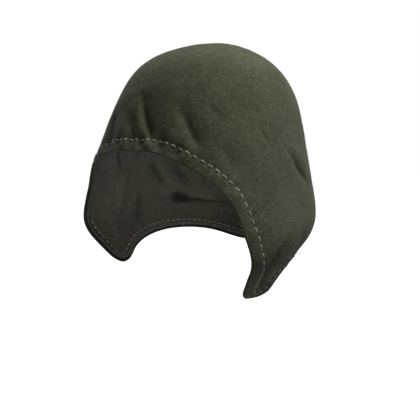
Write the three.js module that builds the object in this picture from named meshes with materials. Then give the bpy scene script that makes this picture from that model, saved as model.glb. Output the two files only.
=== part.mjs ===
import * as THREE from "three";

// A linen hood that is worn on the head: an olive outer shell with its edge turned in, and a dark lining.
// Millimetres, +Z up, the face opening towards -Y, the wearer's left towards +X.
// The origin is the inside of the crown, where the hood sits on the head.

// Cloth walls
const SHELL_WALL = 1.6;
const LINING_WALL = 1.0;
const CLOTH_GAP = 0.5;
const FULL_WALL = SHELL_WALL + CLOTH_GAP + LINING_WALL;

// The turned edge: the width that covers the lining's own edge, and how far its fold stands out
const TURN_WIDTH = 1.2;
const TURN_BULGE = 0.7;
const LINING_SETBACK = TURN_WIDTH + CLOTH_GAP;

// The body of the hood as level sections of its outside, from the crown down.
// Each is a rounded oval: half_width to each side, front and back from its middle line.
const SECTIONS = [
  { height: FULL_WALL, half_width: 0, front: 0, back: 0, middle: 0 },
  { height: -9, half_width: 46.5, front: 42, back: 51, middle: -14.5 },
  { height: -33.5, half_width: 69, front: 60, back: 104.5, middle: -24.5 },
  { height: -74, half_width: 81.5, front: 70.5, back: 137.5, middle: -35.5 },
  { height: -120, half_width: 94.5, front: 77.5, back: 153, middle: -46 },
  { height: -158.5, half_width: 105.5, front: 82, back: 152.5, middle: -53.5 },
  { height: -181.5, half_width: 96.5, front: 86, back: 125.5, middle: -54 },
  { height: -199, half_width: 87.5, front: 89.5, back: 77.5, middle: -35.5 },
  { height: -212, half_width: 88.5, front: 94.5, back: 13.5, middle: 2.5 },
];
const SECTION_ROUNDNESS = 2.3;

// The edge of the cloth, from the forehead down the cheek, round the front corner and back to the nape.
// angle is in degrees round its section: -90 is the front, 0 the wearer's left and 90 the back.
const HEM = [
  { angle: -90, height: -89.5 },
  { angle: -70, height: -90.5 },
  { angle: -53, height: -98.5 },
  { angle: -40, height: -109 },
  { angle: -30, height: -123 },
  { angle: -24, height: -144.5 },
  { angle: -19.5, height: -165.5 },
  { angle: -18, height: -184 },
  { angle: -22.5, height: -196 },
  { angle: -31, height: -204.5 },
  { angle: -35, height: -208.5 },
  { angle: -31.5, height: -210 },
  { angle: -22, height: -208 },
  { angle: -8, height: -203 },
  { angle: 9.5, height: -196 },
  { angle: 27, height: -190.5 },
  { angle: 46, height: -188.5 },
  { angle: 67, height: -191 },
  { angle: 90, height: -195 },
];

// Folds of the cloth, each along three places given by angle and height as above.
// width is half the fold's breadth. depth pushes the cloth in, or out when negative.
const FOLDS = [
  { from: [-60, -52], by: [-49, -72.5], to: [-39, -97.5], width: 7.5, depth: 4.7 },
  { from: [-88, -50], by: [-79, -65.5], to: [-64, -86], width: 7.5, depth: 4.1 },
  { from: [-101, -62.5], by: [-91, -76], to: [-84, -95], width: 6, depth: 2.9 },
  { from: [-123, -63.5], by: [-111, -80.5], to: [-104, -95], width: 7, depth: 2.5 },
  { from: [-66, -50], by: [-58, -64.5], to: [-52, -81.5], width: 7, depth: -1.8 },
  { from: [-12, -72.5], by: [6, -81.5], to: [36, -121], width: 6, depth: 3.8 },
  { from: [0, -63.5], by: [20, -84], to: [44, -108.5], width: 8, depth: -1.8 },
  { from: [1, -162], by: [-6, -176.5], to: [-16, -197], width: 8, depth: 2.9 },
  { from: [-150, -79.5], by: [-162, -95], to: [-176, -117.5], width: 8, depth: 3.4 },
  { from: [150, -149.5], by: [130, -154], to: [108, -160.5], width: 8, depth: -2.9 },
  { from: [60, -158.5], by: [80, -167.5], to: [104, -172], width: 9, depth: 2.3 },
];
const FOLD_SHOULDER = 0.4;
const FOLD_LEAST_BEND = 0.22;

// How the surface is divided. The rays start inside the head and their pole points up and back.
const HEAD_CENTRE = [0, -24, -110];
const POLE_TILT = 72;
const RAY_SHORTEST = 25;
const RAY_LONGEST = 200;
const RAY_STEPS = 26;
const MEAN_REACH = 115;
const TABLE_STEPS = 1200;
const NORMAL_STEP = 0.012;

// Spacing of the ribs along the edge: closer over the forehead's folds and round the front corner
const RIB_SPACING = 21.5;
const CLOSER_RIBS = [
  { place: 0, spacing: 8, reach: 75 },
  { place: 194, spacing: 4, reach: 34 },
];

// Rings from the pole to the edge, as shares of the way, closer together towards the edge
const RING_COUNT = 16;
const LAST_RING = 0.95;
const RING_CROWDING = 0.4;

const OLIVE = 0x4a4b3a;
const CHARCOAL = 0x2f2e2a;

// Vectors as plain arrays
const add = (a, b, k = 1) => [a[0] + b[0] * k, a[1] + b[1] * k, a[2] + b[2] * k];
const dot = (a, b) => a[0] * b[0] + a[1] * b[1] + a[2] * b[2];
const cross = (a, b) => [
  a[1] * b[2] - a[2] * b[1],
  a[2] * b[0] - a[0] * b[2],
  a[0] * b[1] - a[1] * b[0],
];
const length = (a) => Math.sqrt(dot(a, a));
const unit = (a) => add([0, 0, 0], a, 1 / length(a));
const radians = (degrees) => (degrees * Math.PI) / 180;

// A cubic spline through the values at the given places. A slope at an end is used where one is given.
function spline(places, values, firstSlope = null, lastSlope = null) {
  const n = places.length;
  const steps = places.slice(1).map((p, i) => p - places[i]);
  const rise = values.slice(1).map((v, i) => (v - values[i]) / steps[i]);
  const low = new Array(n).fill(0);
  const mid = new Array(n).fill(1);
  const high = new Array(n).fill(0);
  const right = new Array(n).fill(0);
  for (let i = 1; i < n - 1; i++) {
    low[i] = steps[i - 1];
    mid[i] = 2 * (steps[i - 1] + steps[i]);
    high[i] = steps[i];
    right[i] = 6 * (rise[i] - rise[i - 1]);
  }
  if (firstSlope !== null) {
    mid[0] = 2 * steps[0];
    high[0] = steps[0];
    right[0] = 6 * (rise[0] - firstSlope);
  }
  if (lastSlope !== null) {
    mid[n - 1] = 2 * steps[n - 2];
    low[n - 1] = steps[n - 2];
    right[n - 1] = 6 * (lastSlope - rise[n - 2]);
  }
  for (let i = 1; i < n; i++) {
    const k = low[i] / mid[i - 1];
    mid[i] -= k * high[i - 1];
    right[i] -= k * right[i - 1];
  }
  const bend = new Array(n).fill(0);
  bend[n - 1] = right[n - 1] / mid[n - 1];
  for (let i = n - 2; i >= 0; i--) bend[i] = (right[i] - high[i] * bend[i + 1]) / mid[i];
  return (q) => {
    let i = 0;
    while (i < n - 2 && q >= places[i + 1]) i++;
    const a = (places[i + 1] - q) / steps[i];
    const b = (q - places[i]) / steps[i];
    const bow = ((a ** 3 - a) * bend[i] + (b ** 3 - b) * bend[i + 1]) * steps[i] ** 2;
    return a * values[i] + b * values[i + 1] + bow / 6;
  };
}

// The sections, finely divided, so that one can be read off at any height
const COLUMNS = ["height", "half_width", "front", "back", "middle"];
const rowNumbers = SECTIONS.map((row, i) => i);
const columnCurves = COLUMNS.map((name) => {
  const values = SECTIONS.map((row) => row[name]);
  return spline(rowNumbers, values, name === "height" ? 0 : null);
});
const fineSections = Array.from({ length: TABLE_STEPS }, (unused, i) => {
  const q = (i * (SECTIONS.length - 1)) / (TABLE_STEPS - 1);
  return columnCurves.map((curve, k) => (i === 0 && k > 0 ? 0 : curve(q)));
});

function sectionAt(height) {
  const last = fineSections.length - 1;
  const z = Math.min(Math.max(height, fineSections[last][0]), fineSections[0][0]);
  let top = 0;
  let bottom = last;
  while (bottom - top > 1) {
    const half = (top + bottom) >> 1;
    if (fineSections[half][0] >= z) top = half;
    else bottom = half;
  }
  const share = (fineSections[top][0] - z) / (fineSections[top][0] - fineSections[bottom][0]);
  return fineSections[top].map((v, k) => v + (fineSections[bottom][k] - v) * share);
}

function onSection(angle, height) {
  const [, halfWidth, front, back, middle] = sectionAt(height);
  const a = Math.abs(Math.cos(radians(angle))) / halfWidth;
  const b = Math.abs(Math.sin(radians(angle))) / (Math.sin(radians(angle)) < 0 ? front : back);
  const r = (a ** SECTION_ROUNDNESS + b ** SECTION_ROUNDNESS) ** (-1 / SECTION_ROUNDNESS);
  return [r * Math.cos(radians(angle)), middle + r * Math.sin(radians(angle)), height];
}

function isInside(p) {
  if (p[2] >= FULL_WALL) return false;
  const [, halfWidth, front, back, middle] = sectionAt(p[2]);
  const depth = p[1] - middle;
  const a = Math.abs(p[0]) / Math.max(halfWidth, 1e-4);
  const b = Math.abs(depth) / Math.max(depth < 0 ? front : back, 1e-4);
  return a ** SECTION_ROUNDNESS + b ** SECTION_ROUNDNESS < 1;
}

// The point of the outside in a direction from the middle of the head
function castRay(direction) {
  let near = RAY_SHORTEST;
  let far = RAY_LONGEST;
  for (let i = 0; i < RAY_STEPS; i++) {
    const half = (near + far) / 2;
    if (isInside(add(HEAD_CENTRE, direction, half))) near = half;
    else far = half;
  }
  return add(HEAD_CENTRE, direction, (near + far) / 2);
}

function outwardAt(direction) {
  const across = unit(cross(direction, Math.abs(direction[0]) < 0.8 ? [1, 0, 0] : [0, 1, 0]));
  const along = cross(direction, across);
  const castBeside = (side, k) => castRay(unit(add(direction, side, k)));
  const da = add(castBeside(across, NORMAL_STEP), castBeside(across, -NORMAL_STEP), -1);
  const db = add(castBeside(along, NORMAL_STEP), castBeside(along, -NORMAL_STEP), -1);
  return unit(cross(da, db));
}

// The folds push the outside along its normal
const foldLines = FOLDS.map((fold) => {
  const knots = [fold.from, fold.by, fold.to].map(([angle, height]) => onSection(angle, height));
  const points = Array.from({ length: 17 }, (unused, i) => {
    const q = i / 16;
    const control = add(add(knots[1], knots[1]), add(knots[0], knots[2]), -0.5);
    const start = add([0, 0, 0], knots[0], (1 - q) ** 2);
    return add(add(start, control, 2 * q * (1 - q)), knots[2], q * q);
  });
  return { ...fold, points };
});

function foldPush(p) {
  let push = 0;
  for (const { points, width, depth } of foldLines) {
    let nearest = Infinity;
    let place = 0;
    for (let i = 0; i < points.length - 1; i++) {
      const span = add(points[i + 1], points[i], -1);
      const q = Math.min(Math.max(dot(add(p, points[i], -1), span) / dot(span, span), 0), 1);
      const away = length(add(p, add(points[i], span, q), -1));
      if (away < nearest) {
        nearest = away;
        place = (i + q) / (points.length - 1);
      }
    }
    const fade = Math.min(1, FOLD_LEAST_BEND + 1.25 * Math.sin(Math.PI * place));
    const valley = Math.exp(-((nearest / width) ** 2));
    const shoulder = FOLD_SHOULDER * Math.exp(-((nearest / (2.2 * width)) ** 2));
    push -= depth * fade * (valley - shoulder);
  }
  return push;
}

// The edge as a closed curve round half of the hood, and the ray towards each place on it
const hemPoints = HEM.map((row) => onSection(row.angle, row.height));
const hemPlaces = [0];
for (let i = 1; i < hemPoints.length; i++) {
  hemPlaces.push(hemPlaces[i - 1] + length(add(hemPoints[i], hemPoints[i - 1], -1)));
}
const HALF_EDGE = hemPlaces[hemPlaces.length - 1];
const hemCurves = [0, 1, 2].map((k) => {
  const values = hemPoints.map((p, i) => (k === 0 && (i === 0 || i === HEM.length - 1) ? 0 : p[k]));
  const flat = k === 0 ? null : 0;
  return spline(hemPlaces, values, flat, flat);
});
const hemDirection = (place) => {
  const p = hemCurves.map((curve) => curve(place));
  return unit(add(p, HEAD_CENTRE, -1));
};

const tilt = radians(POLE_TILT);
const POLE = [0, Math.cos(tilt), Math.sin(tilt)];
const POLE_FRONT = [0, -Math.sin(tilt), Math.cos(tilt)];

// The direction at a share of the way from the pole to the edge, along the rib that ends at this place
function ribDirection(place, share) {
  const end = hemDirection(place);
  const reach = Math.acos(dot(end, POLE));
  const turn = Math.atan2(end[0], dot(end, POLE_FRONT));
  const even = 0.6 * (1 - share);
  const angle = share * (radians(MEAN_REACH) * even + reach * (1 - even));
  const side = add(add([0, 0, 0], POLE_FRONT, Math.cos(turn)), [1, 0, 0], Math.sin(turn));
  return add(add([0, 0, 0], POLE, Math.cos(angle)), side, Math.sin(angle));
}

// One place of the cloth: the point on the outside before folding, and the way out
const clothPlace = (direction) => ({ base: castRay(direction), out: outwardAt(direction) });
const mirrored = (p) => [-p[0], p[1], p[2]];
const mirroredPlace = ({ base, out, inward }) => ({
  base: mirrored(base),
  out: mirrored(out),
  inward: inward && mirrored(inward),
});

function edgePlace(place) {
  const here = clothPlace(hemDirection(place));
  const ahead = castRay(hemDirection(place + 0.8));
  const behind = castRay(hemDirection(place - 0.8));
  const alongEdge = unit(add(ahead, behind, -1));
  let inward = unit(cross(here.out, alongEdge));
  const upTheRib = add(castRay(ribDirection(place, 0.985)), here.base, -1);
  if (dot(inward, upTheRib) < 0) inward = add([0, 0, 0], inward, -1);
  return { ...here, inward };
}

// A point of the cloth at a depth under the outside, and for the edge also at a distance in from it
function clothPoint(place, depth, inFromEdge = 0) {
  const base = place.inward ? add(place.base, place.inward, inFromEdge) : place.base;
  return add(base, place.out, foldPush(base) - depth);
}

// All ribs round the hood: the wearer's left half, then the mirrored right half
function ribPlaces() {
  const places = [0];
  while (places[places.length - 1] < HALF_EDGE) {
    const place = places[places.length - 1];
    let spacing = RIB_SPACING;
    for (const closer of CLOSER_RIBS) {
      spacing -= (RIB_SPACING - closer.spacing) * Math.exp(-(((place - closer.place) / closer.reach) ** 2));
    }
    places.push(place + spacing);
  }
  const stretch = HALF_EDGE / places[places.length - 1];
  return places.map((place) => place * stretch);
}
const halfPlaces = ribPlaces();
const ringShares = Array.from({ length: RING_COUNT }, (unused, i) => {
  const q = (i + 1) / RING_COUNT;
  return LAST_RING * q * (1 + RING_CROWDING - RING_CROWDING * q);
});
const roundTheHood = (make) => {
  const left = halfPlaces.map(make);
  const right = left.slice(1, -1).reverse().map(mirroredPlace);
  return [...left, ...right];
};
const poleCloth = clothPlace(POLE);
const ringCloth = ringShares.map((share) =>
  roundTheHood((place) => clothPlace(ribDirection(place, share))),
);
const edgeCloth = roundTheHood(edgePlace);

// A closed skin: down the outside from the pole, round the edge, and back up the inside
function clothSolid(outerDepth, innerDepth, edgeRings) {
  const outer = ringCloth.map((ring) => ring.map((c) => clothPoint(c, outerDepth)));
  const inner = ringCloth.map((ring) => ring.map((c) => clothPoint(c, innerDepth)));
  const edges = edgeRings.map(([depth, inFromEdge]) =>
    edgeCloth.map((c) => clothPoint(c, depth, inFromEdge)),
  );
  const rings = [...outer, ...edges, ...inner.reverse()];
  const count = edgeCloth.length;
  const points = [clothPoint(poleCloth, outerDepth), ...rings.flat(), clothPoint(poleCloth, innerDepth)];
  const faces = [];
  for (let i = 0; i < count; i++) {
    const j = (i + 1) % count;
    faces.push(0, 1 + i, 1 + j);
    for (let k = 0; k < rings.length - 1; k++) {
      const a = 1 + k * count;
      const b = a + count;
      // Both sides of the cloth split a cell along the same diagonal, mirrored from left to right.
      const onInside = k >= outer.length + edges.length - 1;
      const onLeft = i < halfPlaces.length - 1;
      if (onInside !== onLeft) faces.push(a + i, b + i, a + j, b + i, b + j, a + j);
      else faces.push(a + i, b + i, b + j, a + i, b + j, a + j);
    }
    const lastRing = 1 + (rings.length - 1) * count;
    faces.push(lastRing + i, points.length - 1, lastRing + j);
  }
  const geometry = new THREE.BufferGeometry();
  geometry.setAttribute("position", new THREE.Float32BufferAttribute(points.flat(), 3));
  geometry.setIndex(faces);
  geometry.computeVertexNormals();
  return geometry;
}

function clothMesh(name, color, geometry) {
  const material = new THREE.MeshStandardMaterial({ color, roughness: 0.95, metalness: 0 });
  const mesh = new THREE.Mesh(geometry, material);
  mesh.name = name;
  return mesh;
}

// The shell's edge is turned in: it bulges a little at the fold and covers the lining's edge
const shellEdge = [
  [0, 0],
  [0.3 * FULL_WALL, -0.8 * TURN_BULGE],
  [0.7 * FULL_WALL, -0.8 * TURN_BULGE],
  [FULL_WALL, 0],
  [FULL_WALL, TURN_WIDTH],
  [SHELL_WALL, TURN_WIDTH],
];
const liningTop = SHELL_WALL + CLOTH_GAP;
const liningEdge = [
  [liningTop, LINING_SETBACK],
  [FULL_WALL, LINING_SETBACK],
];

const hood = new THREE.Group();
hood.name = "linen_hood";
hood.add(clothMesh("outer_shell", OLIVE, clothSolid(0, SHELL_WALL, shellEdge)));
hood.add(clothMesh("lining", CHARCOAL, clothSolid(liningTop, FULL_WALL, liningEdge)));

export default hood;
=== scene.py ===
"""Linen hood: an olive linen shell with a turned, topstitched edge and a dark linen lining.

Sizes are in millimetres until a mesh is made. +Z is up and the face opening looks towards -Y.
"""

import math

import bpy
import numpy as np
from mathutils import Matrix, Vector, noise


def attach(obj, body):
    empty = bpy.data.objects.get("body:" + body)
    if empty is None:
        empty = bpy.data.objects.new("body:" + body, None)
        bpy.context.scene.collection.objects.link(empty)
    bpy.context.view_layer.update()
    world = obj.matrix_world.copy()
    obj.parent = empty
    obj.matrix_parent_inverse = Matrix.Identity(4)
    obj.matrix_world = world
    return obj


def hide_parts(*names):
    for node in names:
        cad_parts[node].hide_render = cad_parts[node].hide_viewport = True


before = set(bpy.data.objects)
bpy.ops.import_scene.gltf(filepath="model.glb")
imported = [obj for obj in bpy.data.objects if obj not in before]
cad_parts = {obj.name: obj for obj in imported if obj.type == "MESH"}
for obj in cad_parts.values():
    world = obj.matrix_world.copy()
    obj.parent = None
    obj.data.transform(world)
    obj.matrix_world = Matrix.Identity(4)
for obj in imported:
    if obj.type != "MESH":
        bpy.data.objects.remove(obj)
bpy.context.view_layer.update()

MM = 0.001
LEAST_LENGTH = 1e-9

# Cloth walls, as in the CAD part
SHELL_WALL = 1.6
LINING_WALL = 1.0
CLOTH_GAP = 0.5
FULL_WALL = SHELL_WALL + CLOTH_GAP + LINING_WALL
TURN_WIDTH = 1.2
TURN_BULGE = 0.63
TURN_STEPS = 10
LINING_SETBACK = TURN_WIDTH + CLOTH_GAP

# Level sections of the outside, from the crown down: height, half width, front, back, middle line
SECTIONS = (
    (FULL_WALL, 0, 0, 0, 0),
    (-9, 46.5, 42, 51, -14.5),
    (-33.5, 69, 60, 104.5, -24.5),
    (-74, 81.5, 70.5, 137.5, -35.5),
    (-120, 94.5, 77.5, 153, -46),
    (-158.5, 105.5, 82, 152.5, -53.5),
    (-181.5, 96.5, 86, 125.5, -54),
    (-199, 87.5, 89.5, 77.5, -35.5),
    (-212, 88.5, 94.5, 13.5, 2.5),
)
SECTION_ROUNDNESS = 2.3
SECTION_TABLE_ROWS = 1200
LEAST_SECTION = 1e-4

# The edge of the cloth from the forehead to the nape: angle in degrees, height
HEM = (
    (-90, -89.5),
    (-70, -90.5),
    (-53, -98.5),
    (-40, -109),
    (-30, -123),
    (-24, -144.5),
    (-19.5, -165.5),
    (-18, -184),
    (-22.5, -196),
    (-31, -204.5),
    (-35, -208.5),
    (-31.5, -210),
    (-22, -208),
    (-8, -203),
    (9.5, -196),
    (27, -190.5),
    (46, -188.5),
    (67, -191),
    (90, -195),
)

# Folds: three places as (angle, height), half breadth, depth (negative stands out), sharpness, lean.
# A fold that leans by 0.5 is half as broad again on the left of one who goes along it outside.
FOREHEAD_FOLDS = (
    ((-63, -54), (-54, -72), (-45.5, -90), 6.5, 2.1, 1.6, 0.4),
    ((-58.5, -62), (-53.2, -73), (-46.5, -88), 2.2, 1.6, 1.3, 0.4),
    ((-97, -44), (-86, -65), (-71, -86), 10, 3.3, 1.4, 0.7),
    ((-92, -55), (-85.5, -67), (-73, -86), 2.4, 1.9, 1.3, 0.4),
    ((-106, -58), (-95, -75), (-87, -91), 6.5, 2.3, 1.5, 0.5),
    ((-127, -54), (-121, -74), (-113, -94), 11, 3.6, 1.5, 0.6),
    ((-66, -74), (-60, -82), (-55, -90), 5, -0.9, 2.0, 0),
    ((-45, -55), (-42, -60), (-38, -66), 3, 1.0, 1.5, 0.3),
    ((-36, -84), (-30, -96), (-25, -108), 8, 1.1, 2.0, 0.3),
)
SIDE_FOLDS = (
    ((12, -89), (25, -105), (37, -122), 4.5, 1.0, 1.8, -0.2),
    ((20, -98), (28, -108.5), (36, -121), 2.6, 2.5, 1.5, -0.2),
    ((6, -81), (14, -91), (23, -102), 1.6, 0.7, 1.4, 0),
    ((17, -80), (31, -97), (45, -115), 8, -1.2, 2.0, 0),
    ((-13, -73), (-8, -81), (-2, -90), 2.4, 0.9, 1.4, -0.2),
    ((2, -154), (-11, -170), (-18, -198), 3.5, -1.6, 1.6, 0),
    ((3, -157), (-7.5, -172), (-14, -199), 7, 4.4, 1.5, 0.3),
    ((26, -154), (13, -171), (-2, -196), 9, 2.6, 1.8, 0.3),
    ((-150, -79.5), (-162, -95), (-176, -117.5), 8, 3.4, 2.0, 0.3),
    ((-168, -72), (-178, -88), (172, -104), 4, 1.8, 1.4, 0),
)
BACK_FOLDS = (
    ((150, -149.5), (130, -154), (108, -160.5), 8, -2.9, 2.0, 0),
    ((60, -158.5), (80, -167.5), (104, -172), 9, 2.3, 2.0, 0.3),
    ((70, -120), (95, -131), (118, -128), 6, 1.7, 1.6, 0.3),
    ((52, -138), (74, -146), (96, -150), 5, 1.5, 1.5, 0.3),
)
FOLDS = FOREHEAD_FOLDS + SIDE_FOLDS + BACK_FOLDS

# Dents of the lining, as above: a negative depth hangs further into the hood
LINING_FOLDS = (
    ((147, -136), (129, -142), (112, -150), 9, -3.4, 2.0, 0),
    ((139, -160), (129, -157.5), (113, -163), 3.2, 4.4, 1.3, 0.3),
    ((139, -149), (133.5, -153.5), (127, -158), 7.5, 6.5, 1.8, 0),
    ((124, -150), (117, -156), (111, -164), 7, -2.4, 2.0, 0),
    ((161, -107), (151.5, -120), (140, -146), 6, 3.4, 1.7, 0),
    ((142, -109), (133, -128), (125, -143), 6, 3.4, 1.7, 0),
    ((152, -106), (142, -124), (132, -140), 6, -2.6, 2.0, 0),
    ((-178, -110), (176.5, -138), (174.5, -166), 7, -2.8, 2.0, 0),
    ((164, -135), (159.5, -159), (163, -180), 7, 2.8, 1.8, 0),
    ((62, -112), (48, -132), (40, -158), 7, 2.2, 1.7, 0),
    ((30, -108), (20, -138), (24, -166), 8, -2.0, 2.0, 0),
)
FOLD_SHOULDER = 0.2
FOLD_SHOULDER_BREADTH = 2.2
FOLD_LEAST_DEPTH = 0.05
FOLD_GROWTH = 1.25
FOLD_KNOTS = 17

# Soft lumps of the whole cloth, and how far the lining hangs in: share, size, place in the noise
LUMPS = (
    (0.55, 42.0, 0.0),
    (0.3, 19.0, 7.7),
    (0.13, 8.0, 3.1),
)
SLACK = 3.6
SLACK_MOST = 7
SLACK_LUMPS = (
    (1.5, 33.0, 11.3),
    (0.7, 15.0, 5.9),
)
SLACK_STARTS = 14
SLACK_GROWS_OVER = 22

# The grid of the cloth: rays from inside the head, round a pole that points up and back
HEAD_CENTRE = np.array((0.0, -24.0, -110.0))
POLE_TILT = math.radians(72)
POLE = np.array((0, math.cos(POLE_TILT), math.sin(POLE_TILT)))
POLE_FRONT = np.array((0, -math.sin(POLE_TILT), math.cos(POLE_TILT)))
MEAN_REACH = math.radians(115)
EVENNESS = 0.6
RAY_SHORTEST = 25.0
RAY_LONGEST = 200.0
RAY_HALVINGS = 26
COLUMN_SPACING = 2.5
CORNER_SPACING = 1.1
CORNER_PLACE = 194
CORNER_REACH = 40
RING_COUNT = 100
RING_CROWDING = 0.4
FINE_RINGS_FROM = 66
HIDDEN_RING_STEP = 3
SHELL_RINGS_LEFT_OUT = 3
LINING_RINGS_LEFT_OUT = 5
EDGE_SAMPLE_COUNT = 1600
POINTS_AT_ONCE = 4000
FAR_FROM_EDGE = 99

# The stitches
STITCH_INSET = 9.0
STITCH_PITCH = 6.4
STITCH_LENGTH = 4.0
INSIDE_STITCHES_FROM = 160.0
THREAD_RADIUS = 0.62
THREAD_STATIONS = 13
THREAD_SIDES = 10
# Shares of the thread's radius: how flat it lies, how far out, and how its ends dip and taper
THREAD_FLATNESS = 0.12
THREAD_LIFT = 0.55
THREAD_DIP = 1.3
THREAD_DIP_POWER = 6
THREAD_TAPER = 0.35
THREAD_TAPER_POWER = 8
# The ply: its depth as a share of the radius, and its twist in radians a millimetre
PLY_DEPTH = 0.13
PLY_TWIST = 7.5 / 4.2

# The hem, which puffs out, and the groove that the stitches draw in
HEM_PUFF = 0.55
HEM_WALL = 0.5
HEM_SOFTNESS = 0.9
HEM_ROUNDING = 4.0
GROOVE_DEPTH = 0.6
GROOVE_WIDTH = 1.5
GROOVE_WALL = 1.2
GROOVE_SLACK = 0.25
# Painted shade along the stitch groove, counted as a crease this many millimetres deep
GROOVE_PAINTED_SHADE = 0.35

# Puckers of the hem, strongest at the stitches and near the forehead
PUCKER_DEPTH = 0.7
PUCKER_BREADTH = 7
PUCKER_INSET = STITCH_INSET - 3
PUCKER_LEAST = 0.35
PUCKER_FRONT = 85
PUCKER_AT_EDGE = 0.3
# Small waves of the hem: share, length, phase
HEM_WAVES = (
    (0.55, 15.3, 1.3),
    (0.45, 9.1, 0),
)
# Deeper puckers of the hem: place along the edge, half breadth, depth
PUCKERS = (
    (-34, 4.5, 1.7),
    (-18, 4.0, 2.4),
    (-5, 3.0, 1.4),
    (9, 3.6, 2.4),
    (27, 3.8, 2.4),
    (41, 4.2, 2.2),
    (62, 4.5, 0.8),
    (86, 5.0, 0.5),
    (-55, 4.5, 1.6),
    (-80, 5.0, 1.2),
)

# The photograph's camera: its angles, distance, focal length in image widths, and the point it looks at
VIEW_AZIMUTH = math.radians(37.382)
VIEW_ELEVATION = math.radians(11.527)
VIEW_DISTANCE = 373.4
VIEW_FOCAL = 391.908 / 420
VIEW_ASIDE = 7.6
VIEW_ABOVE = -40.38
VIEW_CENTRE = np.array((0.0, -23.96, -109.45))
SENSOR = 36.0

# The stage
FLOOR_HEIGHT = -620.0
FLOOR_SIZE = 60
FLOOR_TONE = 0.9
FLOOR_ROUGHNESS = 0.9
FLOOR_GLOW = 1.0
LIGHT_FROM_BELOW = 0.005
LIGHT_FROM_ABOVE = 0.012
LIGHT_RISES_FROM = -0.4
# Lamps: name, aside, above, towards the camera, size, power
LAMPS = (
    ("key", 850, 1500, 600, 700, 20),
    ("overhead", 400, 1600, -100, 700, 12),
    ("upper", 500, 1500, 900, 700, 1.5),
    ("low", 100, -600, 1100, 700, 1.7),
    ("behind", 300, 500, -1400, 900, 9),
    ("far_side", -1200, 300, -900, 900, 7),
)
INSIDE_LAMPS = (
    ("inside", 100, -600, 1100, 700, 5.4),
    ("inside_left", -900, -200, 900, 500, 1.1),
)

# Colours from 0 to 255: for linen the base, dark, light and fleck colours, for thread dark and light
OLIVE = ((85, 88, 69), (66, 69, 52), (99, 102, 81), (112, 113, 78))
CHARCOAL = ((101, 100, 92), (84, 83, 76), (114, 113, 104), (124, 122, 110))
THREAD_COLOURS = ((142, 140, 120), (186, 184, 162))

# Noises of the linen and of the thread: size in millimetres, detail, roughness
WOBBLE = (6.0, 2.0, 0.5)
SLUBS = (0.9, 2.0, 0.5)
PATCHES = (26.0, 4.0, 0.6)
BLOTCHES = (5.0, 3.0, 0.65)
FLECKS = (1.7, 2.0, 0.7)
SPECKS = (1.7, 3.0, 0.75)
GRAIN = (1.6, 3.0, 0.65)
THREAD_TONE = (3.0, 3.0, 0.6)
FIBRES = (0.35, 2.0, 0.6)

# What a span of a noise becomes: from low, from high, to low, to high
TONE_TO_COLOUR = (0.34, 0.66, 0, 1)
FLECKS_TO_COVER = (0.6, 0.74, 0, 0.55)
YARN_TO_SHADE = (0.34, 0.66, 0.8, 1.16)
SPECKS_TO_SHADE = (0.36, 0.64, 0.74, 1.26)
SLUBS_TO_ROUGHNESS = (0.35, 0.65, 0.86, 0.98)
THREAD_TONE_TO_COLOUR = (0.3, 0.7, 0, 1)
FIBRES_TO_SHADE = (0.3, 0.7, 0.82, 1.1)
FIBRES_TO_ROUGHNESS = (0.3, 0.7, 0.7, 0.9)

# The linen: thread spacing in millimetres, shares of its parts, painted light on the hem and by height, and
# painted shade in creases
SHELL_WEAVE = 0.75
LINING_WEAVE = 0.7
WOBBLE_REACH = 3.0
SLUB_STRETCH = 0.12
BASE_SHARE = 0.45
WEAVE_IN_TONE = 0.12
WEAVE_RELIEF = 0.25
SLUB_RELIEF = 1.2
BLOTCH_RELIEF = 0.8
GRAIN_RELIEF = 1.2
LINEN_BUMP = 0.25
LINEN_BUMP_STRENGTH = 0.8
LINEN_SPECULAR = 0.12
LINEN_SHEEN = 0.04
LINEN_SHEEN_ROUGHNESS = 0.5
# Painted light: the hem band between the stitches and the edge is made lighter, with a soft step at the
# stitches
HEM_PAINTED_LIGHT = 0.1
HEM_PAINTED_LIGHT_SOFTNESS = 1
# Painted light and shade by height: the shell is lighter towards the crown and darker towards its lower
# edge, between these heights
SHELL_PAINTED_LIGHT_BY_HEIGHT = 0.2
PAINTED_LIGHT_LOW = -190
PAINTED_LIGHT_HIGH = -20
# Painted shade: the linen is darkened where folds, hem puckers, the stitch groove and lining dents lie deep
SHELL_CREASE_PAINTED_SHADE = 0.44
LINING_CREASE_PAINTED_SHADE = 0.75
CREASE_SHADE_STARTS = 0.4
CREASE_SHADE_FULL = 5.0
THREAD_BUMP = 0.1
THREAD_BUMP_STRENGTH = 0.6
THREAD_SPECULAR = 0.3


def unit(v):
    return v / np.maximum(np.linalg.norm(v, axis=-1, keepdims=True), LEAST_LENGTH)


def spline(places, values, first_slope=None, last_slope=None):
    """A cubic spline through the values, natural at an end that has no slope given."""
    places = np.asarray(places, float)
    values = np.asarray(values, float)
    count = len(places)
    steps = np.diff(places)
    rise = np.diff(values) / steps
    matrix = np.eye(count)
    right = np.zeros(count)
    for i in range(1, count - 1):
        matrix[i, i - 1 : i + 2] = steps[i - 1], 2 * (steps[i - 1] + steps[i]), steps[i]
        right[i] = 6 * (rise[i] - rise[i - 1])
    if first_slope is not None:
        matrix[0, :2] = 2 * steps[0], steps[0]
        right[0] = 6 * (rise[0] - first_slope)
    if last_slope is not None:
        matrix[-1, -2:] = steps[-1], 2 * steps[-1]
        right[-1] = 6 * (last_slope - rise[-1])
    bend = np.linalg.solve(matrix, right)

    def curve(q):
        i = np.clip(np.searchsorted(places, q, side="right") - 1, 0, count - 2)
        a = (places[i + 1] - q) / steps[i]
        b = (q - places[i]) / steps[i]
        bow = ((a**3 - a) * bend[i] + (b**3 - b) * bend[i + 1]) * steps[i] ** 2
        return a * values[i] + b * values[i + 1] + bow / 6

    return curve


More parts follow.
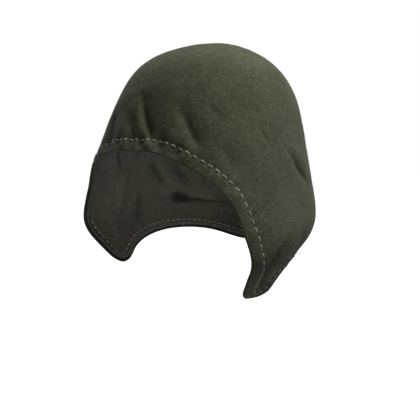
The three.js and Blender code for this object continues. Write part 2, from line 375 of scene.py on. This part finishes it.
# The body of the hood
def fine_sections():
    """The sections as a fine table from the lowest up to the crown, where the cloth is level."""
    rows = np.array(SECTIONS, float)
    numbers = np.arange(len(rows))
    q = np.linspace(0, len(rows) - 1, SECTION_TABLE_ROWS)
    slopes = [0, None, None, None, None]
    table = np.stack([spline(numbers, rows[:, k], slopes[k])(q) for k in range(5)], -1)
    table[0, 1:] = 0
    return table[::-1]


TABLE = fine_sections()


def section_at(height):
    """The half width, front, back and middle line of the section at a height."""
    return [np.interp(height, TABLE[:, 0], TABLE[:, k]) for k in range(1, 5)]


def on_section(angle, height):
    """The point of the outside at an angle in degrees round the level section at a height."""
    half_width, front, back, middle = section_at(height)
    c = np.cos(np.radians(angle))
    s = np.sin(np.radians(angle))
    depth = np.where(s < 0, front, back)
    n = SECTION_ROUNDNESS
    r = ((np.abs(c) / half_width) ** n + (np.abs(s) / depth) ** n) ** (-1 / n)
    return np.stack([r * c, middle + r * s, height + 0 * r], -1)


def is_inside(p):
    half_width, front, back, middle = section_at(p[..., 2])
    depth = p[..., 1] - middle
    half_depth = np.where(depth < 0, front, back)
    n = SECTION_ROUNDNESS
    reach = (np.abs(p[..., 0]) / np.maximum(half_width, LEAST_SECTION)) ** n
    reach = reach + (np.abs(depth) / np.maximum(half_depth, LEAST_SECTION)) ** n
    return (reach < 1) & (p[..., 2] < FULL_WALL)


def cast_rays(directions):
    """The points of the outside in the given directions from the middle of the head."""
    near = np.full(directions.shape[:-1], RAY_SHORTEST)
    far = np.full(directions.shape[:-1], RAY_LONGEST)
    for _ in range(RAY_HALVINGS):
        half = (near + far) / 2
        inside = is_inside(HEAD_CENTRE + directions * half[..., None])
        near = np.where(inside, half, near)
        far = np.where(inside, far, half)
    return HEAD_CENTRE + directions * ((near + far) / 2)[..., None]


# The edge of the cloth, as a function of the distance along it from the forehead
def edge_curve():
    rows = np.array(HEM, float)
    points = on_section(rows[:, 0], rows[:, 1])
    points[[0, -1], 0] = 0
    places = np.r_[0, np.cumsum(np.linalg.norm(np.diff(points, axis=0), axis=1))]
    flat = (None, 0, 0)
    curves = [spline(places, points[:, k], flat[k], flat[k]) for k in range(3)]
    return places[-1], lambda q: np.stack([c(q) for c in curves], -1)


HALF_EDGE, edge_at = edge_curve()


def column_places():
    """Places along the left half of the edge, closer together round the front corner."""
    places = [0.0]
    while places[-1] < HALF_EDGE:
        nearness = math.exp(-(((places[-1] - CORNER_PLACE) / CORNER_REACH) ** 2))
        places.append(places[-1] + COLUMN_SPACING - (COLUMN_SPACING - CORNER_SPACING) * nearness)
    return np.array(places) * HALF_EDGE / places[-1]


def rib_directions(places, shares):
    """Directions for every share of the way (rings) and every place on the edge (columns)."""
    end = unit(edge_at(places) - HEAD_CENTRE)
    reach = np.arccos(end @ POLE)
    turn = np.arctan2(end[:, 0], end @ POLE_FRONT)
    share = np.asarray(shares)[:, None]
    even = EVENNESS * (1 - share)
    angle = (share * (MEAN_REACH * even + reach * (1 - even)))[..., None]
    side = np.cos(turn)[:, None] * POLE_FRONT + np.sin(turn)[:, None] * np.array((1.0, 0, 0))
    return np.cos(angle) * POLE + np.sin(angle) * side


def whole_round(half):
    """Adds the mirrored right half to a grid of the left half."""
    right = half[:, -2:0:-1] * np.array((-1, 1, 1))
    return np.concatenate([half, right], axis=1)


def outward(grid):
    """The unit normals of a grid of rings that closes on itself round the hood."""
    down = np.gradient(grid, axis=0)
    wrapped = np.concatenate([grid[:, -1:], grid, grid[:, :1]], axis=1)
    along = (wrapped[:, 2:] - wrapped[:, :-2]) / 2
    normal = unit(np.cross(along, down))
    facing = np.sum(normal * (grid - HEAD_CENTRE), -1, keepdims=True)
    return np.where(facing < 0, -normal, normal)


# Folds and the stitched hem
def fold_line(ends):
    knots = [on_section(np.float64(angle), np.float64(height)) for angle, height in ends]
    control = 2 * knots[1] - (knots[0] + knots[2]) / 2
    q = np.linspace(0, 1, FOLD_KNOTS)[:, None]
    return (1 - q) ** 2 * knots[0] + 2 * q * (1 - q) * control + q**2 * knots[2]


def along_line(p, line):
    """For each point its distance to a broken line, the share of the line there, and its side."""
    nearest = np.full(len(p), np.inf)
    place = np.zeros(len(p))
    side = np.zeros(len(p))
    for i, (a, b) in enumerate(zip(line[:-1], line[1:])):
        span = b - a
        q = np.clip((p - a) @ span / (span @ span), 0, 1)
        offset = p - a - q[:, None] * span
        away = np.linalg.norm(offset, axis=1)
        closer = away < nearest
        nearest = np.where(closer, away, nearest)
        place = np.where(closer, (i + q) / (len(line) - 1), place)
        turn = np.sum(np.cross(span, offset) * (p - HEAD_CENTRE), -1)
        side = np.where(closer, np.sign(turn), side)
    return nearest, place, side


def fold_push(p, folds):
    """How far the folds push each point out, or in where negative."""
    push = np.zeros(len(p))
    for *ends, width, depth, sharpness, lean in folds:
        away, place, side = along_line(p, fold_line(ends))
        ramp = np.minimum(1, FOLD_LEAST_DEPTH + FOLD_GROWTH * np.sin(np.pi * place))
        breadth = width * (1 + lean * side)
        valley = np.exp(-((away / breadth) ** sharpness))
        shoulder = FOLD_SHOULDER * np.exp(-((away / (FOLD_SHOULDER_BREADTH * breadth)) ** 2))
        push -= depth * ramp * (valley - shoulder)
    return push


def soft_noise(p, layers):
    """A sum of smooth noises, each with its share, the size of its lumps and its place."""
    total = np.zeros(len(p))
    for share, size, start in layers:
        total += share * np.array([noise.noise(Vector(row)) for row in p / size + start])
    return total


EDGE_SAMPLES = np.linspace(-HALF_EDGE, HALF_EDGE, EDGE_SAMPLE_COUNT, endpoint=False)
EDGE_LINE = edge_at(np.abs(EDGE_SAMPLES))
EDGE_LINE[:, 0] *= np.sign(EDGE_SAMPLES)


def edge_distance(p):
    """The distance of each point to the edge, and the place of the edge that is nearest."""
    best = np.full(len(p), np.inf)
    place = np.zeros(len(p))
    for start in range(0, len(p), POINTS_AT_ONCE):
        some = slice(start, start + POINTS_AT_ONCE)
        gap = np.linalg.norm(p[some, None] - EDGE_LINE[None], axis=2)
        k = gap.argmin(axis=1)
        best[some] = gap[np.arange(len(k)), k]
        place[some] = EDGE_SAMPLES[k]
    return best, place


def hem_shape(away, place):
    """How far the hem stands out, how much its wall changes and how much painted shade its puckers and
    groove get.
    """
    groove = np.exp(-(((away - STITCH_INSET) / GROOVE_WIDTH) ** 2))
    tight = 1 - GROOVE_SLACK + GROOVE_SLACK * np.cos(2 * np.pi * place / STITCH_PITCH)
    band = 1 / (1 + np.exp((away - STITCH_INSET) / HEM_SOFTNESS))
    round_edge = np.clip(away / HEM_ROUNDING, 0, 1)
    waves = np.zeros(len(place))
    for share, length, phase in HEM_WAVES:
        waves += share * np.sin(2 * np.pi * place / length + phase)
    gathered = PUCKER_LEAST + (1 - PUCKER_LEAST) * np.exp(-((place / PUCKER_FRONT) ** 2))
    near_hem = np.exp(-(((away - PUCKER_INSET) / PUCKER_BREADTH) ** 2))
    near_hem *= PUCKER_AT_EDGE + (1 - PUCKER_AT_EDGE) * round_edge
    pucker = PUCKER_DEPTH * waves * gathered
    for middle, width, depth in PUCKERS:
        pucker -= depth * np.exp(-(((place - middle) / width) ** 2))
    out = HEM_PUFF * band * round_edge - GROOVE_DEPTH * groove * tight + pucker * near_hem
    wall = HEM_WALL * band * round_edge - GROOVE_WALL * groove
    # Painted shade: deep puckers and the stitch groove count as creases
    hollow_shade = np.maximum(-pucker * near_hem, 0) + GROOVE_PAINTED_SHADE * groove
    return out, wall, hollow_shade


class Cloth:
    """The fine grid of the hood, with what the folds and the hem do to each point."""

    def __init__(self):
        q = np.arange(1, RING_COUNT + 1) / RING_COUNT
        shares = q * (1 + RING_CROWDING - RING_CROWDING * q)
        half = cast_rays(rib_directions(column_places(), shares))
        self.base = whole_round(half)
        self.out = outward(self.base)
        self.pole = cast_rays(POLE[None])[0]
        self.pole_out = unit(self.out[0].mean(axis=0))
        flat = self.base.reshape(-1, 3)
        away, place = edge_distance(flat)
        hem_out, hem_wall, hollow_shade = hem_shape(away, place)
        lumps = soft_noise(flat, LUMPS)
        folds = fold_push(flat, FOLDS)
        shape = self.base.shape[:2]
        self.away = away.reshape(shape)
        self.place = place.reshape(shape)
        # Fold, pucker and groove depth, kept for the painted shade of the linen
        self.crease_shade = (np.maximum(-folds, 0) + hollow_shade).reshape(shape)
        self.push = (folds + hem_out + lumps).reshape(shape)
        self.wall = (FULL_WALL + hem_wall).reshape(shape)
        dents = fold_push(flat, LINING_FOLDS)
        slack = np.clip(SLACK + soft_noise(flat, SLACK_LUMPS) + dents, 0, SLACK_MOST)
        slack *= np.clip((away - SLACK_STARTS) / SLACK_GROWS_OVER, 0, 1)
        self.dents = dents.reshape(shape)
        self.slack = slack.reshape(shape)

    def layer(self, depth, slack=0.0):
        """The rings of a layer at a depth in the full wall, scaled where the wall is thinner or thicker."""
        offset = self.push - self.wall * depth / FULL_WALL - slack * self.slack
        return self.base + self.out * offset[..., None]

    def pole_point(self, depth, slack=0.0):
        """The middle point of a layer, where its ribs meet."""
        offset = self.push[0].mean() - self.wall[0].mean() * depth / FULL_WALL
        offset -= slack * self.slack[0].mean()
        return self.pole + self.pole_out * offset

    def edge_rings(self, profile):
        """Rings round the edge: each is a depth and a distance in from the edge."""
        edge, out = self.base[-1], self.out[-1]
        along = unit(np.roll(edge, -1, axis=0) - np.roll(edge, 1, axis=0))
        inward = unit(np.cross(out, along))
        up_the_rib = self.base[-3] - edge
        inward *= np.sign(np.sum(inward * up_the_rib, -1, keepdims=True))
        push, wall = self.push[-1], self.wall[-1]
        rings = []
        for depth, inset in profile:
            offset = (push - wall * depth / FULL_WALL)[:, None]
            rings.append(edge + inward * inset + out * offset)
        return np.array(rings)


def add_piece(name, points, faces):
    """A smooth mesh object from points in millimetres."""
    mesh = bpy.data.meshes.new(name)
    mesh.from_pydata((np.array(points) * MM).tolist(), [], faces)
    mesh.polygons.foreach_set("use_smooth", np.ones(len(mesh.polygons), bool))
    mesh.update()
    piece = bpy.data.objects.new(name, mesh)
    bpy.context.scene.collection.objects.link(piece)
    return piece


def cloth_mesh(name, outside, inside, edge, poles, values):
    """A closed skin from the pole down the outside, round the edge and back up the inside."""
    rings = np.concatenate([outside, edge, inside[::-1]])
    count = rings.shape[1]
    points = np.concatenate([poles[:1], rings.reshape(-1, 3), poles[1:]])
    i = np.arange(count)
    j = (i + 1) % count
    faces = []
    for k in range(len(rings) - 1):
        a = 1 + k * count
        faces.append(np.stack([a + i, a + count + i, a + count + j, a + j], -1))
    last = 1 + (len(rings) - 1) * count
    end = len(points) - 1
    caps = [(0, 1 + a, 1 + b) for a, b in zip(i, j)]
    caps += [(last + a, end, last + b) for a, b in zip(i, j)]
    piece = add_piece(name, points, np.concatenate(faces).tolist() + caps)
    for label, numbers in values.items():
        attribute = piece.data.attributes.new(label, "FLOAT", "POINT")
        attribute.data.foreach_set("value", numbers.astype(np.float32))
    return piece


def shell_profile():
    """The turned edge, as depths and distances in: a round fold, a strip inside and its raw end."""
    profile = []
    for step in range(1, TURN_STEPS):
        turn = math.pi * step / TURN_STEPS
        depth = FULL_WALL * (1 - math.cos(turn)) / 2
        profile.append((depth, -TURN_BULGE * math.sin(turn)))
    profile += [(FULL_WALL, 0), (FULL_WALL, TURN_WIDTH / 2), (FULL_WALL, TURN_WIDTH)]
    profile.append((SHELL_WALL, TURN_WIDTH))
    return profile


def point_values(rings_list, first, last):
    """One number for each point of a cloth mesh, from its rings of numbers."""
    return np.concatenate([[first], np.concatenate(rings_list).ravel(), [last]])


def hidden_rings(count):
    """The rings kept on a side that is out of sight: every third, and all of them near the edge."""
    return np.r_[0:FINE_RINGS_FROM:HIDDEN_RING_STEP, FINE_RINGS_FROM:count]


def build_shell(cloth):
    outside = cloth.layer(0)
    kept = hidden_rings(RING_COUNT - SHELL_RINGS_LEFT_OUT)
    inside = cloth.layer(SHELL_WALL)[kept]
    profile = shell_profile()
    edge = cloth.edge_rings(profile)
    poles = np.array([cloth.pole_point(0), cloth.pole_point(SHELL_WALL)])
    no_distance = np.zeros((len(profile), cloth.base.shape[1]))
    distances = [cloth.away, no_distance, cloth.away[kept][::-1]]
    crease_shades = [cloth.crease_shade, no_distance, cloth.crease_shade[kept][::-1]]
    values = {
        "edge_distance": point_values(distances, FAR_FROM_EDGE, FAR_FROM_EDGE),
        "crease_shade": point_values(crease_shades, 0, 0),
    }
    return cloth_mesh("hood_shell", outside, inside, edge, poles, values)


def build_lining(cloth):
    count = RING_COUNT - LINING_RINGS_LEFT_OUT
    kept = hidden_rings(count)
    top = SHELL_WALL + CLOTH_GAP
    outside = cloth.layer(top, 1)[kept]
    inside = cloth.layer(FULL_WALL, 1)[:count]
    edge = cloth.edge_rings([(top, LINING_SETBACK), (FULL_WALL, LINING_SETBACK)])
    poles = np.array([cloth.pole_point(top, 1), cloth.pole_point(FULL_WALL, 1)])
    # The lining's dents carry painted shade
    dents = np.maximum(-cloth.dents, 0)[:count]
    no_dents = np.zeros((2, dents.shape[1]))
    values = {"crease_shade": point_values([dents[kept], no_dents, dents[::-1]], 0, 0)}
    return cloth_mesh("hood_lining", outside, inside, edge, poles, values)


# Topstitching
def stitch_line(cloth, surface):
    """The line on a layer at the stitch inset: its points, the way out and the place on the edge."""
    points, outs, places = [], [], []
    for column in range(cloth.base.shape[1]):
        away = cloth.away[:, column]
        ring = len(away) - 1
        while away[ring] < STITCH_INSET:
            ring -= 1
        share = (away[ring] - STITCH_INSET) / (away[ring] - away[ring + 1])
        points.append(surface[ring, column] * (1 - share) + surface[ring + 1, column] * share)
        outs.append(cloth.out[ring, column])
        places.append(cloth.place[-1, column])
    return np.array(points), np.array(outs), np.array(places)


def thread_mesh(name, line, side, first_place=0.0):
    """Short stitches laid along a closed line, each dipping into the cloth at both ends.

    They stand outward where side is 1 and inward where it is -1.
    Stitches nearer to the forehead than first_place, along the edge, are left out.
    """
    points, outs, edge_places = line
    closed = np.concatenate([points, points[:1]])
    closed_outs = np.concatenate([outs, outs[:1]])
    closed_edge = np.abs(np.r_[edge_places, edge_places[:1]])
    places = np.r_[0, np.cumsum(np.linalg.norm(np.diff(closed, axis=0), axis=1))]
    count = round(places[-1] / STITCH_PITCH)
    pitch = places[-1] / count
    along, around = THREAD_STATIONS, THREAD_SIDES
    q = np.linspace(0, 1, along)
    end_closeness = np.abs(2 * q - 1)
    lift = THREAD_RADIUS * (THREAD_LIFT - THREAD_DIP * end_closeness**THREAD_DIP_POWER)
    radius = THREAD_RADIUS * (1 - THREAD_TAPER * end_closeness**THREAD_TAPER_POWER)
    vertices, faces = [], []
    for stitch in range(count):
        if np.interp(stitch * pitch, places, closed_edge) < first_place:
            continue
        at = (stitch * pitch + q * STITCH_LENGTH * pitch / STITCH_PITCH) % places[-1]
        middle = np.stack([np.interp(at, places, closed[:, k]) for k in range(3)], -1)
        out = unit(np.stack([np.interp(at, places, closed_outs[:, k]) for k in range(3)], -1)) * side
        forward = unit(np.gradient(middle, axis=0))
        across = unit(np.cross(forward, out))
        middle = middle + out * lift[:, None]
        first = len(vertices)
        for i in range(along):
            for k in range(around):
                turn = 2 * np.pi * k / around
                ply = 1 + PLY_DEPTH * math.cos(2 * turn - PLY_TWIST * q[i] * STITCH_LENGTH)
                spoke = across[i] * math.cos(turn) * (1 + THREAD_FLATNESS)
                spoke = spoke + out[i] * math.sin(turn) * (1 - THREAD_FLATNESS)
                vertices.append(middle[i] + spoke * radius[i] * ply)
        for i in range(along - 1):
            for k in range(around):
                a = first + i * around + k
                b = first + i * around + (k + 1) % around
                faces.append((a, b, b + around, a + around))
        faces.append(tuple(first + k for k in reversed(range(around))))
        faces.append(tuple(first + (along - 1) * around + k for k in range(around)))
    return add_piece(name, vertices, faces)


# Materials
class Tree:
    """Adds shader nodes in short calls: a number sets a socket, and an output is linked to it."""

    def __init__(self, name):
        self.material = bpy.data.materials.new(name)
        self.material.use_nodes = True
        self.tree = self.material.node_tree
        self.shader = self.tree.nodes["Principled BSDF"]

    def link_or_set(self, socket, value):
        if isinstance(value, bpy.types.NodeSocket):
            self.tree.links.new(value, socket)
        else:
            socket.default_value = value

    def put(self, node, name, value):
        self.link_or_set(node.inputs[name], value)

    def add(self, kind, inputs=None, output=0, **settings):
        node = self.tree.nodes.new("ShaderNode" + kind)
        for key, value in settings.items():
            setattr(node, key, value)
        for name, value in (inputs or {}).items():
            self.put(node, name, value)
        return node.outputs[output]

    def math(self, operation, a, b=0.0):
        return self.add("Math", {0: a, 1: b}, operation=operation)

    def times(self, a, b):
        return self.math("MULTIPLY", a, b)

    def vector(self, operation, a, b=(0.0, 0.0, 0.0)):
        return self.add("VectorMath", {0: a, 1: b}, operation=operation)

    def noise(self, place, kind, output=0):
        size, detail, roughness = kind
        inputs = {"Vector": place, "Scale": 1 / size, "Detail": detail, "Roughness": roughness}
        return self.add("TexNoise", inputs, output)

    def range(self, value, low, high, to_low, to_high):
        inputs = {"Value": value, "From Min": low, "From Max": high}
        inputs.update({"To Min": to_low, "To Max": to_high})
        return self.add("MapRange", inputs)

    def mix(self, share, a, b, blend="MIX"):
        node = self.tree.nodes.new("ShaderNodeMix")
        node.data_type = "RGBA"
        node.blend_type = blend
        inputs = {("Factor", "VALUE"): share, ("A", "RGBA"): a, ("B", "RGBA"): b}
        for socket in node.inputs:
            if (socket.name, socket.type) in inputs:
                self.link_or_set(socket, inputs[socket.name, socket.type])
        return next(s for s in node.outputs if s.type == "RGBA")

    def darken(self, colour, shade):
        """The colour times a plain number."""
        grey = self.add("CombineColor", {0: shade, 1: shade, 2: shade})
        return self.mix(1.0, colour, grey, "MULTIPLY")

    def place_in_mm(self):
        return self.vector("MULTIPLY", self.add("TexCoord", output=3), (1 / MM,) * 3)


def srgb(red, green, blue):
    """A colour on the shader's linear scale from its 0 to 255 values."""
    parts = []
    for value in (red, green, blue):
        v = value / 255
        parts.append(v / 12.92 if v <= 0.04045 else ((v + 0.055) / 1.055) ** 2.4)
    return (*parts, 1.0)


def weave_height(t, place, pitch):
    """Crossing threads of a plain weave along the three axes, blended by the way the cloth faces."""
    x, y, z = (t.add("SeparateXYZ", {0: place}, output=k) for k in range(3))
    wave = [t.math("SINE", t.times(v, math.pi / pitch)) for v in (x, y, z)]
    facing = t.vector("ABSOLUTE", t.add("NewGeometry", output=1))
    facing = t.vector("MULTIPLY", facing, facing)
    facing = t.vector("MULTIPLY", facing, facing)
    nx, ny, nz = (t.add("SeparateXYZ", {0: facing}, output=k) for k in range(3))
    total = t.math("ADD", t.math("ADD", nx, ny), nz)
    parts = [
        t.times(nx, t.times(wave[1], wave[2])),
        t.times(ny, t.times(wave[0], wave[2])),
        t.times(nz, t.times(wave[0], wave[1])),
    ]
    return t.math("DIVIDE", t.math("ADD", t.math("ADD", parts[0], parts[1]), parts[2]), total)


def linen(name, colours, pitch, crease_painted_shade, hem_painted_light=0.0, ramp=0.0):
    """Plain-weave linen: threads with slubs, soft mottling, small flecks and painted shade in creases, with
    painted light on the hem band and by height when these are given.
    """
    base, dark, light, fleck = (srgb(*colour) for colour in colours)
    t = Tree(name)
    place = t.place_in_mm()
    wobble = t.noise(place, WOBBLE, output=1)
    waved = t.vector("ADD", place, t.vector("MULTIPLY", wobble, (WOBBLE_REACH,) * 3))
    weave = weave_height(t, waved, pitch)
    level = t.noise(t.vector("MULTIPLY", waved, (SLUB_STRETCH, SLUB_STRETCH, 1.0)), SLUBS)
    upright = t.noise(t.vector("MULTIPLY", waved, (1.0, 1.0, SLUB_STRETCH)), SLUBS)
    slubs = t.times(t.math("ADD", level, upright), 0.5)
    patches = t.noise(place, PATCHES)
    blotches = t.noise(place, BLOTCHES)

    tone = t.times(t.math("ADD", patches, blotches), 0.5)
    colour = t.mix(t.range(tone, *TONE_TO_COLOUR), dark, light)
    colour = t.mix(BASE_SHARE, colour, base)
    colour = t.mix(t.range(t.noise(place, FLECKS), *FLECKS_TO_COVER), colour, fleck)

    yarn = t.math("ADD", slubs, t.times(weave, WEAVE_IN_TONE))
    specks = t.range(t.noise(place, SPECKS), *SPECKS_TO_SHADE)
    shade = t.times(t.range(yarn, *YARN_TO_SHADE), specks)
    # Painted light: the hem band outside the stitches is lighter
    if hem_painted_light:
        away = t.add("Attribute", output=2, attribute_name="edge_distance")
        low, high = STITCH_INSET - HEM_PAINTED_LIGHT_SOFTNESS, STITCH_INSET + HEM_PAINTED_LIGHT_SOFTNESS
        shade = t.times(shade, t.range(away, low, high, 1 + hem_painted_light, 1))
    # Painted light and shade: lighter higher up and darker lower down
    if ramp:
        height = t.add("SeparateXYZ", {0: place}, output=2)
        shade = t.times(shade, t.range(height, PAINTED_LIGHT_LOW, PAINTED_LIGHT_HIGH, 1 - ramp, 1 + ramp))
    # Painted shade: the linen is darker where folds, puckers and the groove lie deep
    crease_shade = t.add("Attribute", output=2, attribute_name="crease_shade")
    shade = t.times(shade, t.range(crease_shade, CREASE_SHADE_STARTS, CREASE_SHADE_FULL, 1, 1 - crease_painted_shade))

    relief = t.times(weave, WEAVE_RELIEF)
    relief = t.math("ADD", relief, t.times(slubs, SLUB_RELIEF))
    relief = t.math("ADD", relief, t.times(blotches, BLOTCH_RELIEF))
    relief = t.math("ADD", relief, t.times(t.noise(place, GRAIN), GRAIN_RELIEF))
    bump = {"Height": relief, "Distance": LINEN_BUMP * MM, "Strength": LINEN_BUMP_STRENGTH}
    t.put(t.shader, "Base Color", t.darken(colour, shade))
    t.put(t.shader, "Roughness", t.range(slubs, *SLUBS_TO_ROUGHNESS))
    t.put(t.shader, "Normal", t.add("Bump", bump))
    t.put(t.shader, "Specular IOR Level", LINEN_SPECULAR)
    t.put(t.shader, "Sheen Weight", LINEN_SHEEN)
    t.put(t.shader, "Sheen Roughness", LINEN_SHEEN_ROUGHNESS)
    return t.material


def thread_material():
    """Twisted thread: pale grey-olive with a fine ply bump and uneven tone."""
    dark, light = (srgb(*colour) for colour in THREAD_COLOURS)
    t = Tree("topstitch_thread")
    place = t.place_in_mm()
    tone = t.range(t.noise(place, THREAD_TONE), *THREAD_TONE_TO_COLOUR)
    fibres = t.noise(place, FIBRES)
    colour = t.darken(t.mix(tone, dark, light), t.range(fibres, *FIBRES_TO_SHADE))
    bump = {"Height": fibres, "Distance": THREAD_BUMP * MM, "Strength": THREAD_BUMP_STRENGTH}
    t.put(t.shader, "Base Color", colour)
    t.put(t.shader, "Roughness", t.range(fibres, *FIBRES_TO_ROUGHNESS))
    t.put(t.shader, "Normal", t.add("Bump", bump))
    t.put(t.shader, "Specular IOR Level", THREAD_SPECULAR)
    return t.material


# Stage: floor, light and camera
def add_floor():
    """A plain pale floor with an even glow, which throws no diffuse light back at the hood."""
    bpy.ops.mesh.primitive_plane_add(size=FLOOR_SIZE, location=(0, 0, FLOOR_HEIGHT * MM))
    floor = bpy.context.object
    floor.name = "floor"
    t = Tree("floor")
    t.put(t.shader, "Base Color", (*(FLOOR_TONE,) * 3, 1))
    t.put(t.shader, "Roughness", FLOOR_ROUGHNESS)
    t.put(t.shader, "Emission Color", (1, 1, 1, 1))
    t.put(t.shader, "Emission Strength", FLOOR_GLOW)
    floor.data.materials.append(t.material)
    floor.visible_diffuse = False


def add_world():
    """White where the camera sees it, and otherwise a soft weak light, mostly from above."""
    world = bpy.data.worlds.new("studio")
    world.use_nodes = True
    tree = world.node_tree
    background = tree.nodes["Background"]
    background.inputs["Color"].default_value = (1, 1, 1, 1)
    place = tree.nodes.new("ShaderNodeTexCoord")
    parts = tree.nodes.new("ShaderNodeSeparateXYZ")
    sky = tree.nodes.new("ShaderNodeMapRange")
    sky.inputs["From Min"].default_value = LIGHT_RISES_FROM
    sky.inputs["To Min"].default_value = LIGHT_FROM_BELOW
    sky.inputs["To Max"].default_value = LIGHT_FROM_ABOVE
    seen = tree.nodes.new("ShaderNodeLightPath")
    strength = tree.nodes.new("ShaderNodeMix")
    strength.inputs["B"].default_value = 1.0
    tree.links.new(place.outputs["Generated"], parts.inputs[0])
    tree.links.new(parts.outputs["Z"], sky.inputs["Value"])
    tree.links.new(seen.outputs["Is Camera Ray"], strength.inputs["Factor"])
    tree.links.new(sky.outputs[0], strength.inputs["A"])
    tree.links.new(strength.outputs[0], background.inputs["Strength"])
    bpy.context.scene.world = world


def view_axes():
    """The photograph's right and up, and the way back to its camera."""
    a, e = VIEW_AZIMUTH, VIEW_ELEVATION
    right = np.array((math.cos(a), math.sin(a), 0))
    back = np.array((math.sin(a) * math.cos(e), -math.cos(a) * math.cos(e), math.sin(e)))
    return right, np.cross(back, right), back


def add_camera():
    right, up, back = view_axes()
    target = VIEW_CENTRE + VIEW_ASIDE * right + VIEW_ABOVE * up
    data = bpy.data.cameras.new("camera")
    data.sensor_width = SENSOR
    data.lens = SENSOR * VIEW_FOCAL
    camera = bpy.data.objects.new("camera", data)
    camera.rotation_euler = Matrix(np.stack([right, up, back], -1).tolist()).to_euler()
    camera.location = (target + VIEW_DISTANCE * back) * MM
    bpy.context.scene.collection.objects.link(camera)
    bpy.context.scene.camera = camera


def add_light(name, aside, above, towards, size, power):
    """An area light placed by the photograph's own right, up and towards the camera, in millimetres."""
    right, up, back = view_axes()
    away = aside * right + above * up + towards * back
    data = bpy.data.lights.new(name, "AREA")
    data.shape = "DISK"
    data.size = size * MM
    data.energy = power
    light = bpy.data.objects.new(name, data)
    light.location = (VIEW_CENTRE + away) * MM
    light.rotation_euler = Vector(away.tolist()).to_track_quat("Z", "Y").to_euler()
    bpy.context.scene.collection.objects.link(light)
    return light


bpy.context.scene.view_settings.view_transform = "Standard"
add_camera()
add_floor()
add_world()
for lamp in LAMPS:
    add_light(*lamp)
inside_lights = [add_light(*lamp) for lamp in INSIDE_LAMPS]

cloth = Cloth()
shell = build_shell(cloth)
lining = build_lining(cloth)
topstitch = thread_mesh("topstitch_outside", stitch_line(cloth, cloth.layer(0)), 1)
inner_line = stitch_line(cloth, cloth.layer(FULL_WALL, 1))
understitch = thread_mesh("topstitch_inside", inner_line, -1, INSIDE_STITCHES_FROM)

shell_linen = linen("shell_linen", OLIVE, SHELL_WEAVE, SHELL_CREASE_PAINTED_SHADE, HEM_PAINTED_LIGHT, SHELL_PAINTED_LIGHT_BY_HEIGHT)
lining_linen = linen("lining_linen", CHARCOAL, LINING_WEAVE, LINING_CREASE_PAINTED_SHADE)
shell.data.materials.append(shell_linen)
lining.data.materials.append(lining_linen)
thread = thread_material()
for piece in (topstitch, understitch):
    piece.data.materials.append(thread)

# The inside lamps light only the lining and its stitches
lit_inside = bpy.data.collections.new("lit_inside")
for piece in (lining, understitch):
    lit_inside.objects.link(piece)
for light in inside_lights:
    light.light_linking.receiver_collection = lit_inside

for piece in (shell, lining, topstitch, understitch):
    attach(piece, "root")
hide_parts("outer_shell")
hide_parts("lining")
